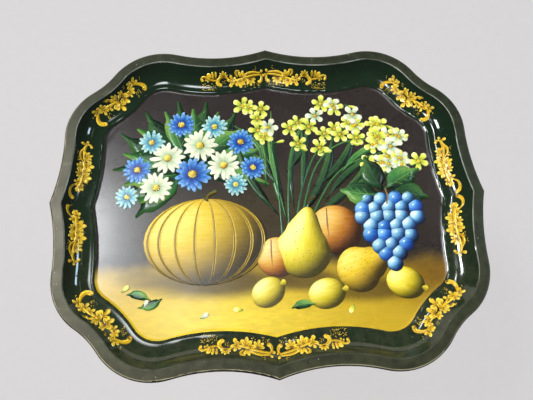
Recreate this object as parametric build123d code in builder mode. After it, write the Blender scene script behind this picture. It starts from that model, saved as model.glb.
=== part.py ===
"""Folding tray table: a scalloped metal tray on crossed tube legs that fold flat under it.

Millimetres. +Z is up, X runs along the tray, and the origin is on the ground under the tray's middle.
"""
import math
import os

from build123d import *

os.makedirs("parts", exist_ok=True)

# Tray outline, seen from above: a cusp in the middle of each side, with lobes and dips between
tray_length = 560.0
tray_width = 439.0
end_lobe_radius = 74.0
end_lobe_from_end = 85.0
end_lobe_from_side = 126.0
side_lobe_radius = 80.0
side_lobe_from_end = 136.4
side_lobe_from_side = 83.5
end_dip_radius = 290.0
corner_dip_radius = 100.0
side_dip_radius = 217.0

# Tray section, from the rolled edge inward to the floor
sheet = 0.9
table_height = 600.0
rim_height = 25.0
rolled_edge_diameter = 6.0
rim_wire_diameter = 3.8
flange_width = 14.5
flange_fall = 0.4
crease_radius = 1.6
cove_width = 26.5
step_height = 2.5
step_width = 7.0
floor_border = 2.0

# Leg frames
tube_diameter = 16.0
tube_wall = 1.2
tube_bend_radius = 40.0
outer_leg_spacing = 330.0
leg_gap = 4.0
rail_from_end = 102.0
foot_spread = 22.0

# Stretchers
outer_stretcher_height = 112.0
outer_stretcher_width = 20.0
outer_stretcher_thickness = 2.5
inner_stretcher_height = 112.0
inner_stretcher_diameter = 12.0
inner_stretcher_wall = 1.0
stretcher_rivet_diameter = 4.0
stretcher_rivet_head = 8.0

# Crossing pivot
crossing_rivet_diameter = 6.0
crossing_head_diameter = 13.0
crossing_head_height = 3.0
ferrule_wall = 1.4
spacer_diameter = 14.0

# Feet
foot_wall = 2.5
foot_grip = 24.0
foot_sole = 11.0
foot_lip = 1.0

# Rail holders under the tray
batten_thickness = 2.0
batten_width = 60.0
batten_margin = 14.0
holder_spacing = 160.0
holder_width = 20.0
bush_wall = 0.95
strap_thickness = 1.2
strap_reach = 26.0
clip_thickness = 1.0
clip_reach = 30.0
clip_lip = 8.0
clip_flare = 5.0
clip_flare_angle = 28.0
holder_bend_radius = 1.6
holder_rivet_diameter = 3.6
holder_rivet_head = 7.0
holder_rivet_dome = 1.8
holder_rivet_sink = 1.4
clip_rivet_spacing = 10.0

# Clearances
running = 0.05
rivet_clearance = 0.05
seat_gap = 0.1

# Heights, worked out from the tray down
floor_underside = table_height - sheet
batten_underside = floor_underside - batten_thickness
tube_radius = tube_diameter / 2
bush_radius = tube_radius + running + bush_wall
rail_height = batten_underside - bush_radius - running
rail_x = tray_length / 2 - rail_from_end
foot_x = rail_x + foot_spread
holder_y = holder_spacing / 2

# Leg geometry: each leg runs from its rail, across the middle, to a foot on the other side
leg_length = math.hypot(rail_x + foot_x, rail_height)
leg_angle = math.degrees(math.asin(rail_height / leg_length))
crossing_height = rail_height * foot_x / (rail_x + foot_x)
outer_leg_y = outer_leg_spacing / 2
inner_leg_y = outer_leg_y - tube_diameter - leg_gap
tube_length = leg_length - foot_sole

ENDS = {"front": -1, "rear": 1}


def circles_meet(centre_a, radius_a, centre_b, radius_b, turn):
    """Point at radius_a from centre_a and radius_b from centre_b, left (1) or right (-1) of a to b."""
    across = centre_b - centre_a
    along = (radius_a**2 - radius_b**2 + across.length**2) / (2 * across.length)
    aside = math.sqrt(radius_a**2 - along**2)
    ahead = across.normalized()
    return centre_a + ahead * along + Vector(-ahead.Y, ahead.X) * (turn * aside)


# Quarter of the outline: two lobes, and three dips that touch them from outside
end_cusp = Vector(tray_length / 2, 0)
side_cusp = Vector(0, tray_width / 2)
end_lobe = Vector(end_cusp.X - end_lobe_from_end, side_cusp.Y - end_lobe_from_side)
side_lobe = Vector(end_cusp.X - side_lobe_from_end, side_cusp.Y - side_lobe_from_side)
end_dip = circles_meet(end_cusp, end_dip_radius, end_lobe, end_dip_radius + end_lobe_radius, -1)
corner_dip = circles_meet(
    end_lobe, end_lobe_radius + corner_dip_radius, side_lobe, side_lobe_radius + corner_dip_radius, -1
)
side_dip = circles_meet(side_lobe, side_lobe_radius + side_dip_radius, side_cusp, side_dip_radius, -1)


def touch_point(lobe, radius, dip):
    """Point where a lobe meets a dip."""
    return lobe + (dip - lobe).normalized() * radius


end_touch = touch_point(end_lobe, end_lobe_radius, end_dip)
end_corner_touch = touch_point(end_lobe, end_lobe_radius, corner_dip)
side_corner_touch = touch_point(side_lobe, side_lobe_radius, corner_dip)
side_touch = touch_point(side_lobe, side_lobe_radius, side_dip)

# Arcs of the quarter, each counter-clockwise about its centre: centre, first and last point, inward sign
QUARTER_ARCS = [
    (end_dip, end_touch, end_cusp, 1),
    (end_lobe, end_touch, end_corner_touch, -1),
    (corner_dip, side_corner_touch, end_corner_touch, 1),
    (side_lobe, side_corner_touch, side_touch, -1),
    (side_dip, side_cusp, side_touch, 1),
]


def arc_angle(centre, first, last):
    """Counter-clockwise angle in degrees from first to last about centre."""
    start = math.atan2(first.Y - centre.Y, first.X - centre.X)
    stop = math.atan2(last.Y - centre.Y, last.X - centre.X)
    return math.degrees((stop - start) % (2 * math.pi))


def rim_plane(centre, first, inward):
    """Section plane at an arc's first point: local x runs inward from the edge, local y is up."""
    into_tray = (first - centre).normalized() * inward
    return Plane(
        origin=(first.X, first.Y, table_height),
        x_dir=into_tray,
        z_dir=(into_tray.Y, -into_tray.X, 0),
    )


# Section of the rim in its own plane: x inward from the outline, y up from the floor
edge_radius = rolled_edge_diameter / 2
edge_mid_radius = edge_radius - sheet / 2
edge_centre = Vector(edge_radius, rim_height - edge_radius)
sheet_middle = -sheet / 2
crease = Vector(flange_width, rim_height - flange_fall - sheet / 2)
flange_run = crease - edge_centre
flange_dip = math.degrees(math.atan2(-flange_run.Y, flange_run.X))
flange_turn = math.degrees(math.acos(edge_mid_radius / flange_run.length))
flange_start_angle = flange_turn - flange_dip
ledge = Vector(flange_width + cove_width, sheet_middle + step_height)
cove_height = crease.Y - ledge.Y
cove_radius = (cove_width**2 + cove_height**2) / (2 * cove_height)
cove_rise = math.degrees(math.asin(cove_width / cove_radius))
step_foot = Vector(ledge.X + step_width, sheet_middle)
floor_inset = step_foot.X + floor_border


# Middle line of the pressed sheet: rolled edge, flange, cove, ledge and the step down to the floor
with BuildLine() as rim_line:
    CenterArc(edge_centre, edge_mid_radius, 360, flange_start_angle - 360)
    Line(edge_centre + Vector(edge_mid_radius, 0).rotate(Axis.Z, flange_start_angle), crease)
    CenterArc((ledge.X, ledge.Y + cove_radius), cove_radius, 270 - cove_rise, cove_rise)
    step_middle = (ledge + step_foot) / 2
    TangentArc(ledge, step_middle, tangent=(1, 0))
    TangentArc(step_foot, step_middle, tangent=(-1, 0))
    Line(step_foot, (floor_inset, sheet_middle))
    fillet(rim_line.vertices().sort_by_distance(crease)[0], crease_radius)


def trim_and_mirror():
    """Cut the quarter on the two middle planes, which mitres the cusps, and mirror it all round."""
    split(bisect_by=Plane.XZ, keep=Keep.BOTTOM)
    split(bisect_by=Plane.YZ, keep=Keep.TOP)
    mirror(about=Plane.XZ)
    mirror(about=Plane.YZ)


# Quarter of the floor: the outline moved inward and closed through the tray's middle
floor_end = Vector(end_dip.X - math.sqrt((end_dip_radius + floor_inset) ** 2 - end_dip.Y**2), 0)
floor_side = Vector(0, side_dip.Y - math.sqrt((side_dip_radius + floor_inset) ** 2 - side_dip.X**2))
FLOOR_STOPS = {"end": (end_cusp, floor_end), "side": (side_cusp, floor_side)}


def moved_inward(point, centre, inward):
    """Point of the floor's outline for a point of the tray's outline."""
    for cusp, stop in FLOOR_STOPS.values():
        if point is cusp:
            return stop
    return point + (point - centre).normalized() * (inward * floor_inset)


# Tray pan
with BuildPart() as tray_pan:
    for centre, first, last, inward in QUARTER_ARCS:
        with BuildSketch(rim_plane(centre, first, inward)):
            trace(rim_line.line, line_width=sheet)
        revolve(
            axis=Axis(centre, (0, 0, 1)),
            revolution_arc=arc_angle(centre, first, last),
        )
    with BuildSketch(Plane.XY.offset(floor_underside)):
        with BuildLine():
            Line((0, 0), floor_end)
            for centre, first, last, inward in QUARTER_ARCS:
                start = moved_inward(first, centre, inward)
                stop = moved_inward(last, centre, inward)
                spoke = start - centre
                CenterArc(
                    centre,
                    spoke.length,
                    math.degrees(math.atan2(spoke.Y, spoke.X)),
                    arc_angle(centre, start, stop),
                )
            Line(floor_side, (0, 0))
        make_face()
    extrude(amount=sheet)
    trim_and_mirror()
tray_pan.part.label = "tray_pan"
export_step(tray_pan.part, "parts/tray_pan.step")

# Wire inside the rolled edge
with BuildPart() as rim_wire:
    for centre, first, last, inward in QUARTER_ARCS:
        with BuildSketch(rim_plane(centre, first, inward)):
            with Locations(edge_centre):
                Circle(rim_wire_diameter / 2)
        revolve(
            axis=Axis(centre, (0, 0, 1)),
            revolution_arc=arc_angle(centre, first, last),
        )
    trim_and_mirror()
rim_wire.part.label = "rim_wire"
export_step(rim_wire.part, "parts/rim_wire.step")



def leg_plane(rail_side):
    """Plane of a leg frame: origin in the middle of its rail, local x along +Y, local y down the legs."""
    slope = math.radians(leg_angle)
    down_leg = Vector(-rail_side * math.cos(slope), 0, -math.sin(slope))
    return Plane(
        origin=(rail_side * rail_x, 0, rail_height),
        x_dir=(0, 1, 0),
        z_dir=Vector(0, 1, 0).cross(down_leg),
    )


def distance_down_leg(height):
    """Distance from the rail, along a leg, of a point at this height."""
    return (rail_height - height) / math.sin(math.radians(leg_angle))


def rivet(diameter, head, dome, grip, far_head, far_dome, sink):
    """Rivet along +Z: a domed head under z = 0, a shank through the grip, and a far head domed or sunk."""
    radius = diameter / 2
    with BuildPart() as piece:
        with BuildSketch(Plane.XZ):
            with BuildLine():
                TangentArc((0, -dome), (head / 2, 0), tangent=(1, 0))
                Polyline((head / 2, 0), (radius, 0), (radius, grip - sink), (far_head / 2, grip))
                if far_dome:
                    TangentArc((0, grip + far_dome), (far_head / 2, grip), tangent=(1, 0))
                else:
                    Line((far_head / 2, grip), (0, grip))
                Line((0, grip + far_dome), (0, -dome))
            make_face()
        revolve(axis=Axis.Z)
    return piece.part


outer_plane = leg_plane(-1)
inner_plane = leg_plane(1)
outer_stretcher_at = distance_down_leg(outer_stretcher_height)
inner_stretcher_at = distance_down_leg(inner_stretcher_height)
crossing_hole_radius = crossing_rivet_diameter / 2 + rivet_clearance
ferrule_bore_radius = crossing_rivet_diameter / 2 + running
ferrule_radius = ferrule_bore_radius + ferrule_wall

# Outer leg frame: one bent tube, with cross holes for the crossing rivets and the stretcher's rivets
with BuildPart() as outer_leg_frame:
    with BuildLine(outer_plane) as outer_path:
        FilletPolyline(
            (-outer_leg_y, tube_length),
            (-outer_leg_y, 0),
            (outer_leg_y, 0),
            (outer_leg_y, tube_length),
            radius=tube_bend_radius,
        )
    with BuildSketch(Plane(origin=outer_path.line @ 0, z_dir=outer_path.line % 0)):
        Circle(tube_radius)
        Circle(tube_radius - tube_wall, mode=Mode.SUBTRACT)
    sweep()
    with BuildSketch(Plane.XZ):
        with Locations((0, crossing_height)):
            Circle(crossing_hole_radius)
    extrude(amount=outer_leg_spacing, both=True, mode=Mode.SUBTRACT)
    with BuildSketch(outer_plane):
        with Locations((-outer_leg_y, outer_stretcher_at), (outer_leg_y, outer_stretcher_at)):
            Circle(stretcher_rivet_diameter / 2 + rivet_clearance)
    extrude(amount=tube_diameter, both=True, mode=Mode.SUBTRACT)
outer_leg_frame.part.label = "outer_leg_frame"
export_step(outer_leg_frame.part, "parts/outer_leg_frame.step")

# Inner leg frame: the same bend, narrower, with cross holes for the ferrules
with BuildPart() as inner_leg_frame:
    with BuildLine(inner_plane) as inner_path:
        FilletPolyline(
            (-inner_leg_y, tube_length),
            (-inner_leg_y, 0),
            (inner_leg_y, 0),
            (inner_leg_y, tube_length),
            radius=tube_bend_radius,
        )
    with BuildSketch(Plane(origin=inner_path.line @ 0, z_dir=inner_path.line % 0)):
        Circle(tube_radius)
        Circle(tube_radius - tube_wall, mode=Mode.SUBTRACT)
    sweep()
    with BuildSketch(Plane.XZ):
        with Locations((0, crossing_height)):
            Circle(ferrule_radius + rivet_clearance)
    extrude(amount=outer_leg_spacing, both=True, mode=Mode.SUBTRACT)
inner_leg_frame.part.label = "inner_leg_frame"
export_step(inner_leg_frame.part, "parts/inner_leg_frame.step")

# Outer stretcher: a flat bar with round ends across the lower face of the outer legs
stretcher_face = tube_radius + running
with BuildPart() as outer_stretcher:
    with BuildSketch(outer_plane.offset(stretcher_face)):
        with Locations((0, outer_stretcher_at)):
            SlotOverall(outer_leg_spacing + outer_stretcher_width, outer_stretcher_width)
        with Locations((-outer_leg_y, outer_stretcher_at), (outer_leg_y, outer_stretcher_at)):
            Circle(stretcher_rivet_diameter / 2 + rivet_clearance, mode=Mode.SUBTRACT)
    extrude(amount=outer_stretcher_thickness)
outer_stretcher.part.label = "outer_stretcher"
export_step(outer_stretcher.part, "parts/outer_stretcher.step")

# Rivets of the outer stretcher, through the bar and both walls of the tube
stretcher_rivet_dome = stretcher_rivet_head / 4
stretcher_rivet_grip = 2 * stretcher_face + outer_stretcher_thickness
stretcher_rivet = rivet(
    stretcher_rivet_diameter,
    stretcher_rivet_head,
    stretcher_rivet_dome,
    stretcher_rivet_grip,
    stretcher_rivet_head,
    stretcher_rivet_dome,
    0,
)
with BuildPart() as outer_stretcher_rivets:
    for side in ENDS.values():
        upper_side = (side * outer_leg_y, outer_stretcher_at, -stretcher_face)
        with Locations(Plane(origin=outer_plane.from_local_coords(upper_side), z_dir=outer_plane.z_dir)):
            add(stretcher_rivet)
outer_stretcher_rivets.part.label = "outer_stretcher_rivets"
export_step(outer_stretcher_rivets.part, "parts/outer_stretcher_rivets.step")

# Inner stretcher: a thin tube between the inner legs, coped to their round sides
with BuildPart() as inner_stretcher:
    stretcher_middle = inner_plane.from_local_coords((0, inner_stretcher_at, 0))
    with BuildSketch(Plane(origin=stretcher_middle, z_dir=(0, 1, 0))):
        Circle(inner_stretcher_diameter / 2)
        Circle(inner_stretcher_diameter / 2 - inner_stretcher_wall, mode=Mode.SUBTRACT)
    extrude(amount=inner_leg_y, both=True)
    leg_section = Plane(origin=inner_plane.origin, x_dir=(0, 1, 0), z_dir=inner_plane.y_dir)
    with BuildSketch(leg_section):
        with Locations((-inner_leg_y, 0), (inner_leg_y, 0)):
            Circle(tube_radius + running)
    extrude(amount=leg_length, mode=Mode.SUBTRACT)
inner_stretcher.part.label = "inner_stretcher"
export_step(inner_stretcher.part, "parts/inner_stretcher.step")

# Crossing: a shoulder rivet on each side, a ferrule that turns on it, and a spacer between the legs
crossing_rivet_outside = outer_leg_y + tube_radius + seat_gap
crossing_rivet_grip = crossing_rivet_outside - (inner_leg_y - tube_radius - seat_gap)
crossing_rivet = rivet(
    crossing_rivet_diameter,
    crossing_head_diameter,
    crossing_head_height,
    crossing_rivet_grip,
    crossing_head_diameter,
    crossing_head_height,
    0,
)
spacer_thickness = leg_gap - 2 * seat_gap
for end, side in ENDS.items():
    with BuildPart() as crossing_rivet_piece:
        outside = (0, side * crossing_rivet_outside, crossing_height)
        with Locations(Plane(origin=outside, x_dir=(1, 0, 0), z_dir=(0, -side, 0))):
            add(crossing_rivet)
    crossing_rivet_piece.part.label = f"crossing_rivet_{end}"
    export_step(crossing_rivet_piece.part, f"parts/crossing_rivet_{end}.step")

    with BuildPart() as leg_ferrule:
        leg_middle = (0, side * inner_leg_y, crossing_height)
        with BuildSketch(Plane(origin=leg_middle, x_dir=(1, 0, 0), z_dir=(0, 1, 0))):
            Circle(ferrule_radius)
            Circle(ferrule_bore_radius, mode=Mode.SUBTRACT)
        extrude(amount=tube_radius, both=True)
    leg_ferrule.part.label = f"leg_ferrule_{end}"
    export_step(leg_ferrule.part, f"parts/leg_ferrule_{end}.step")

    with BuildPart() as spacer_washer:
        gap_middle = (0, side * (inner_leg_y + outer_leg_y) / 2, crossing_height)
        with BuildSketch(Plane(origin=gap_middle, x_dir=(1, 0, 0), z_dir=(0, 1, 0))):
            Circle(spacer_diameter / 2)
            Circle(ferrule_bore_radius, mode=Mode.SUBTRACT)
        extrude(amount=spacer_thickness / 2, both=True)
    spacer_washer.part.label = f"spacer_washer_{end}"
    export_step(spacer_washer.part, f"parts/spacer_washer_{end}.step")

# Feet: rubber cups on the tube ends, cut flat on the ground
foot_radius = tube_radius + running + foot_wall
LEG_FRAMES = {"outer": (outer_plane, outer_leg_y), "inner": (inner_plane, inner_leg_y)}
for frame_name, (plane, leg_y) in LEG_FRAMES.items():
    for end, side in ENDS.items():
        cup_mouth = plane.from_local_coords((side * leg_y, tube_length - foot_grip, 0))
        cup_plane = Plane(origin=cup_mouth, x_dir=(0, 1, 0), z_dir=plane.y_dir)
        with BuildPart() as foot:
            with BuildSketch(cup_plane):
                Circle(foot_radius)
            extrude(amount=foot_grip + foot_sole + 2 * foot_radius)
            fillet(foot.edges().filter_by(GeomType.CIRCLE).sort_by(Axis.Z)[-1], foot_lip)
            with BuildSketch(cup_plane):
                Circle(tube_radius + running)
            extrude(amount=foot_grip, mode=Mode.SUBTRACT)
            split(bisect_by=Plane.XY, keep=Keep.TOP)
        foot.part.label = f"{frame_name}_foot_{end}"
        export_step(foot.part, f"parts/{frame_name}_foot_{end}.step")

# Rail holders: battens under the floor, straps round the outer legs' rail, clips under the inner legs' rail
holder_drop = batten_underside - rail_height
strap_middle_radius = bush_radius + seat_gap + strap_thickness / 2
strap_tab = holder_drop - strap_thickness / 2
strap_rivet_x = (strap_middle_radius + strap_thickness / 2 + strap_reach) / 2
clip_middle_radius = tube_radius + seat_gap + clip_thickness / 2
clip_tab = holder_drop - clip_thickness / 2
clip_rivet_x = (clip_middle_radius + clip_thickness / 2 + clip_reach) / 2
holder_sink_head = holder_rivet_diameter + 2 * holder_rivet_sink
sink_angle = 2 * math.degrees(math.atan2(holder_sink_head - holder_rivet_diameter, 2 * holder_rivet_sink))

STRAP_RIVETS = [
    (-rail_x + reach * strap_rivet_x, side * holder_y) for side in ENDS.values() for reach in (-1, 1)
]
CLIP_RIVETS = [
    (rail_x - clip_rivet_x, side * holder_y + step * clip_rivet_spacing / 2)
    for side in ENDS.values()
    for step in (-1, 1)
]
BATTENS = {"pivot_batten": (-rail_x, STRAP_RIVETS), "clip_batten": (rail_x, CLIP_RIVETS)}
batten_length = holder_spacing + holder_width + 2 * batten_margin

for batten_name, (batten_x, rivet_places) in BATTENS.items():
    with BuildPart() as batten:
        with BuildSketch(Plane.XY.offset(batten_underside)):
            with Locations((batten_x, 0)):
                RectangleRounded(batten_width, batten_length, batten_margin / 2)
        extrude(amount=batten_thickness)
        with Locations(*[(x, y, floor_underside) for x, y in rivet_places]):
            CounterSinkHole(
                holder_rivet_diameter / 2 + rivet_clearance,
                holder_sink_head / 2 + rivet_clearance,
                batten_thickness,
                sink_angle,
            )
    batten.part.label = batten_name
    export_step(batten.part, f"parts/{batten_name}.step")

for end, side in ENDS.items():
    strap_plane = Plane(origin=(-rail_x, side * holder_y, rail_height), x_dir=(1, 0, 0), z_dir=(0, -1, 0))
    clip_plane = Plane(origin=(rail_x, side * holder_y, rail_height), x_dir=(1, 0, 0), z_dir=(0, -1, 0))

    with BuildPart() as pivot_strap:
        with BuildSketch(strap_plane):
            with BuildLine():
                FilletPolyline(
                    (-strap_reach, strap_tab),
                    (-strap_middle_radius, strap_tab),
                    (-strap_middle_radius, 0),
                    radius=holder_bend_radius,
                )
                CenterArc((0, 0), strap_middle_radius, 180, 180)
                FilletPolyline(
                    (strap_middle_radius, 0),
                    (strap_middle_radius, strap_tab),
                    (strap_reach, strap_tab),
                    radius=holder_bend_radius,
                )
            trace(line_width=strap_thickness)
        extrude(amount=holder_width / 2, both=True)
        with Locations(*[(x, y, batten_underside) for x, y in STRAP_RIVETS if y * side > 0]):
            Hole(holder_rivet_diameter / 2 + rivet_clearance, strap_thickness)
    pivot_strap.part.label = f"pivot_strap_{end}"
    export_step(pivot_strap.part, f"parts/pivot_strap_{end}.step")

    with BuildPart() as pivot_bush:
        with BuildSketch(strap_plane):
            Circle(bush_radius)
            Circle(tube_radius + running, mode=Mode.SUBTRACT)
        extrude(amount=holder_width / 2, both=True)
    pivot_bush.part.label = f"pivot_bush_{end}"
    export_step(pivot_bush.part, f"parts/pivot_bush_{end}.step")

    with BuildPart() as spring_clip:
        with BuildSketch(clip_plane):
            with BuildLine():
                FilletPolyline(
                    (-clip_reach, clip_tab),
                    (-clip_middle_radius, clip_tab),
                    (-clip_middle_radius, 0),
                    radius=holder_bend_radius,
                )
                CenterArc((0, 0), clip_middle_radius, 180, 90)
                Line((0, -clip_middle_radius), (clip_lip, -clip_middle_radius))
                PolarLine((clip_lip, -clip_middle_radius), clip_flare, -clip_flare_angle)
            trace(line_width=clip_thickness)
        extrude(amount=holder_width / 2, both=True)
        with Locations(*[(x, y, batten_underside) for x, y in CLIP_RIVETS if y * side > 0]):
            Hole(holder_rivet_diameter / 2 + rivet_clearance, clip_thickness)
    spring_clip.part.label = f"spring_clip_{end}"
    export_step(spring_clip.part, f"parts/spring_clip_{end}.step")

    with BuildPart() as rail_pad:
        with BuildSketch(Plane.XY.offset(batten_underside)):
            with Locations((rail_x + seat_gap, side * holder_y)):
                RectangleRounded(2 * (tube_radius - seat_gap), holder_width, holder_bend_radius)
        extrude(amount=-(holder_drop - tube_radius - running))
    rail_pad.part.label = f"rail_pad_{end}"
    export_step(rail_pad.part, f"parts/rail_pad_{end}.step")

# Rivets of the straps and clips: domed under the tab, sunk flush with the batten's upper face
HOLDER_RIVETS = {
    "pivot_strap_rivets": (STRAP_RIVETS, strap_thickness),
    "spring_clip_rivets": (CLIP_RIVETS, clip_thickness),
}
for group_name, (rivet_places, tab_thickness) in HOLDER_RIVETS.items():
    holder_rivet = rivet(
        holder_rivet_diameter,
        holder_rivet_head,
        holder_rivet_dome,
        tab_thickness + batten_thickness,
        holder_sink_head,
        0,
        holder_rivet_sink,
    )
    with BuildPart() as holder_rivets:
        with Locations(*[(x, y, batten_underside - tab_thickness) for x, y in rivet_places]):
            add(holder_rivet)
    holder_rivets.part.label = group_name
    export_step(holder_rivets.part, f"parts/{group_name}.step")

print("leg length", round(leg_length, 2), "mm, slope", round(leg_angle, 3), "degrees")
print("rail height", round(rail_height, 3), "mm, crossing height", round(crossing_height, 3), "mm")
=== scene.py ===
# %% [markdown]
# # A scalloped tole tray on folding legs
# The imported model is the fixed frame of this lesson: every CAD node is already in its place, in metres, with
# +Z up. We load it first, and then dress it piece by piece.

# %% Load the frame
import random
from math import cos, radians, sin, tau

import bmesh
import bpy
import numpy as np
from mathutils import Matrix, Vector
from mathutils.bvhtree import BVHTree


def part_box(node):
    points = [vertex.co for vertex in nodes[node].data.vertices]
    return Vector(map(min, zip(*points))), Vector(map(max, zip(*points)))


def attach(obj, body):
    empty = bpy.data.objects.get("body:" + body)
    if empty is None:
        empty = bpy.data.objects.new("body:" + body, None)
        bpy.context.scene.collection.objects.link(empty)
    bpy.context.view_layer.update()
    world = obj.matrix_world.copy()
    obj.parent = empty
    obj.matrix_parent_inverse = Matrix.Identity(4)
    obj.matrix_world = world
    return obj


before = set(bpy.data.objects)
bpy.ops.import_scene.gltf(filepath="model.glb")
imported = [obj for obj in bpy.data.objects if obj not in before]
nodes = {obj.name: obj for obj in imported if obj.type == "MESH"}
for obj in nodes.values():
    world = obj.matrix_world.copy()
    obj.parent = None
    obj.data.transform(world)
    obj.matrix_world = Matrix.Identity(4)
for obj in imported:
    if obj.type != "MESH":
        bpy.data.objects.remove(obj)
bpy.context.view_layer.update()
scene = bpy.context.scene
scene.view_settings.view_transform = "Standard"
chance = random.Random(7)
vary = chance.uniform
mm = 0.001

# %% [markdown]
# ## The camera
# The photograph looks down on the tray from a little in front. Its camera was fitted to the tray's outline: a
# short lens, half a metre above the rim. Ours is placed from the rim's own height.


# %% Camera over the tray
def put(name, data):
    """A new object in the scene."""
    made = bpy.data.objects.new(name, data)
    scene.collection.objects.link(made)
    return made


tray_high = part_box("tray_pan")[1]
rolled_edge_radius = 3.0 * mm
rim_depth = 25.0 * mm
rim_level = tray_high.z - rolled_edge_radius
floor_level = tray_high.z - rim_depth
camera_offset = Vector((-0.0316, -0.1666, 0.5404))
camera_aim = Vector((0.04433, 0.28850, -0.95645))
camera_up = Vector((0.02784, 0.95666, 0.28986))
focal_pixels = 440.0
frame_pixels = 533.0
sensor_width = 36.0

camera_data = bpy.data.cameras.new("photo_camera")
camera_data.sensor_fit = "HORIZONTAL"
camera_data.sensor_width = sensor_width
camera_data.lens = focal_pixels / frame_pixels * sensor_width
camera = put("photo_camera", camera_data)
back = -camera_aim.normalized()
side = camera_up.cross(back).normalized()
top = back.cross(side)
axes = Matrix((side, top, back)).transposed().to_4x4()
camera.matrix_world = Matrix.Translation(Vector((0, 0, rim_level)) + camera_offset) @ axes
scene.camera = camera
print("camera", tuple(round(v, 3) for v in camera.location), "lens", round(camera_data.lens, 2))

# %% [markdown]
# ## Node helpers
# Each finish is a small node tree on the Principled shader. A few helpers keep the trees short: one adds a
# node and fills its sockets, and the others name what we ask of it. All of them add to the tree that was
# opened last, and read Object coordinates, which are the frame's own metres.


# %% Helpers for node finishes
def pigment(code):
    """A paint's linear colour from its six-figure sRGB code."""
    shares = [int(code[at : at + 2], 16) / 255 for at in (0, 2, 4)]
    return (*[s / 12.92 if s <= 0.04045 else ((s + 0.055) / 1.055) ** 2.4 for s in shares], 1.0)


def tones_of(codes):
    """A row of paints, from shadow to light."""
    return [pigment(code) for code in codes.split()]


def fill(made, sockets):
    """Give each named socket a number, a paint's code or another node's output."""
    for socket, value in sockets.items():
        if isinstance(value, bpy.types.NodeSocket):
            tree.links.new(value, made.inputs[socket])
        else:
            made.inputs[socket].default_value = pigment(value) if isinstance(value, str) else value


def add_node(kind, sockets, **settings):
    """Add one shader node with its settings and sockets."""
    made = tree.nodes.new("ShaderNode" + kind)
    for setting, value in settings.items():
        setattr(made, setting, value)
    fill(made, sockets)
    return made


def new_finish(name):
    """Open a new material's tree: gives the material, its shader and the place on the piece."""
    global tree
    finish = bpy.data.materials.new(name)
    finish.use_nodes = True
    tree = finish.node_tree
    return finish, tree.nodes["Principled BSDF"], add_node("TexCoord", {}).outputs["Object"]


def axis(vector, letter):
    """One coordinate of a place or a normal."""
    return add_node("SeparateXYZ", {0: vector}).outputs[letter]


def patches(place, scale, detail=3.0):
    """Soft random patches, so many to the metre."""
    sockets = {"Vector": place, "Scale": scale, "Detail": detail, "Roughness": 0.55}
    return add_node("TexNoise", sockets).outputs[0]


def streaks(place, scale, detail):
    """Soft random streaks, so many to the metre along each axis."""
    stretched = add_node("Mapping", {"Vector": place, "Scale": scale}).outputs[0]
    return patches(stretched, 1.0, detail)


def step(value, low, high, start=0.0, end=1.0):
    """Smooth step from start at low to end at high."""
    sockets = {"Value": value, "From Min": low, "From Max": high, "To Min": start, "To Max": end}
    return add_node("MapRange", sockets, interpolation_type="SMOOTHSTEP").outputs[0]


def mix(share, first, second):
    """One paint over another by a share."""
    return add_node("Mix", {0: share, 6: first, 7: second}, data_type="RGBA").outputs[2]


def blend(share, first, second):
    """One normal over another by a share."""
    return add_node("Mix", {0: share, 4: first, 5: second}, data_type="VECTOR").outputs[1]


def reckon(kind, first, second):
    """Arithmetic on two values."""
    return add_node("Math", {0: first, 1: second}, operation=kind).outputs[0]


def times(first, second):
    """The product of two values."""
    return reckon("MULTIPLY", first, second)


def plus(first, second):
    """The sum of two values."""
    return reckon("ADD", first, second)


def vector_sum(kind, sockets):
    """Arithmetic on vectors."""
    return add_node("VectorMath", sockets, operation=kind).outputs


def chips(place, scale, radius, share):
    """Small round chips: cells to the metre, radius in cells, and the share of cells that hold one."""
    cells = add_node("TexVoronoi", {"Vector": place, "Scale": scale})
    lot = add_node("SeparateColor", {0: cells.outputs["Color"]}).outputs[0]
    chosen = step(lot, 1.0 - share, 1.0 - share + 0.01)
    return times(step(cells.outputs["Distance"], radius, 0.5 * radius), chosen)


def relief(height, depth, strength, **normal):
    """Small bumps from a height, in metres, on the piece's own normal or a given one."""
    sockets = {"Height": height, "Distance": depth, "Strength": strength, **normal}
    return add_node("Bump", sockets).outputs[0]


print("node helpers ready")

# %% [markdown]
# ## Floor and light
# The floor is one wide plane in the photograph's pale grey. What the camera and mirror-like surfaces see of
# it is mostly its own plain tone, so the table's shadow stays but is faint. A small strong lamp high on the
# left stands for a window: its mirror image is the pale veil on the picture. A warm wall glows behind, and a
# cool window shines from the right. The four panes are weak lamps that draw highlight lines on the rim; three
# of them have narrow beams, which reach only one part of it.

# %% Floor
plain_share = 0.86
bpy.ops.object.select_all(action="DESELECT")
bpy.ops.mesh.primitive_plane_add(size=12.0, location=(0, 0, 0))
floor = bpy.context.object
floor.name = "studio_floor"
floor_paint, shader, place = new_finish("floor_paint")
floor_grey = mix(patches(place, 40.0), (0.685, 0.668, 0.668, 1), (0.72, 0.70, 0.70, 1))
fill(shader, {"Base Color": floor_grey, "Roughness": 0.95})
ray = add_node("LightPath", {}).outputs
mirrored = reckon("MAXIMUM", ray["Is Glossy Ray"], ray["Is Transmission Ray"])
seen = times(reckon("MAXIMUM", ray["Is Camera Ray"], mirrored), plain_share)
plain = add_node("Emission", {"Color": floor_grey, "Strength": 1.0}).outputs[0]
both = add_node("MixShader", {0: seen, 1: shader.outputs[0], 2: plain}).outputs[0]
fill(tree.nodes["Material Output"], {"Surface": both})
floor.data.materials.append(floor_paint)
print("floor:", floor.name)

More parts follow.
